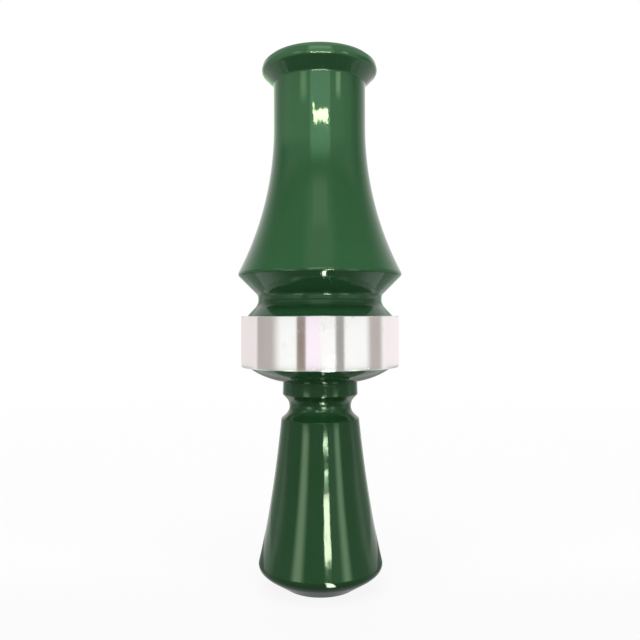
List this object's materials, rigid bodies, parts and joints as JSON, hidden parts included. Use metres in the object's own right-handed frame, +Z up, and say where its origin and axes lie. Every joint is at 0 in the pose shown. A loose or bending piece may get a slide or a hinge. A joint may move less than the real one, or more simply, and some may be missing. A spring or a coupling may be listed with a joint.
{
  "type": "duck call",
  "caption": "Turned duck call that stands on its bell end: banded barrel, pull-out insert, tone board, reeds and cork wedge.",
  "frame": {"origin": "centre of the flat ring at the bell end, on which the call stands", "axes": "+Z up the call's axis, from the bell end to the mouth; the reeds face -Y"},
  "size_m": [0.0376, 0.0376, 0.1219],
  "materials": {
    "barrel_acrylic": "polished dark green acrylic",
    "band_metal": "polished",
    "insert_acrylic": "polished dark green acrylic",
    "seal_rubber": "satin black",
    "board_plastic": "moulded, semi-gloss black",
    "reed_film": "milky polyester film",
    "cork": "cut cork"
  },
  "bodies": {
    "insert": {"insert": "insert_acrylic", "tone_board": "board_plastic"},
    "seals": {"o_ring_lower": "seal_rubber", "o_ring_upper": "seal_rubber"},
    "barrel": {"barrel": "barrel_acrylic", "band": "band_metal"},
    "long_reed": {"long_reed": "reed_film"},
    "short_reed": {"short_reed": "reed_film"},
    "cork": {"cork_wedge": "cork"}
  },
  "joints": [
    {"name": "barrel_turn", "type": "hinge", "parent": "insert", "child": "seals", "pos_m": [0, 0, 0.0558], "axis": [0, 0, 1], "continuous": true},
    {"name": "barrel_pull", "type": "slide", "parent": "seals", "child": "barrel", "axis": [0, 0, 1], "range_m": [0, 0.062]},
    {"name": "wedge_pull", "type": "slide", "parent": "insert", "child": "cork", "axis": [0, 0, 1], "range_m": [0, 0.0075]},
    {"name": "reed_flex", "type": "hinge", "parent": "insert", "child": "long_reed", "pos_m": [0, -0.00062, 0.07352], "axis": [-1, 0, 0], "range_deg": [0, 1.7], "stiffness_Nm_per_rad": 0.0159},
    {"name": "top_reed_slide", "type": "slide", "parent": "long_reed", "child": "short_reed", "axis": [0, 0, 1], "range_m": [-0.0012, 0.0012]}
  ]
}
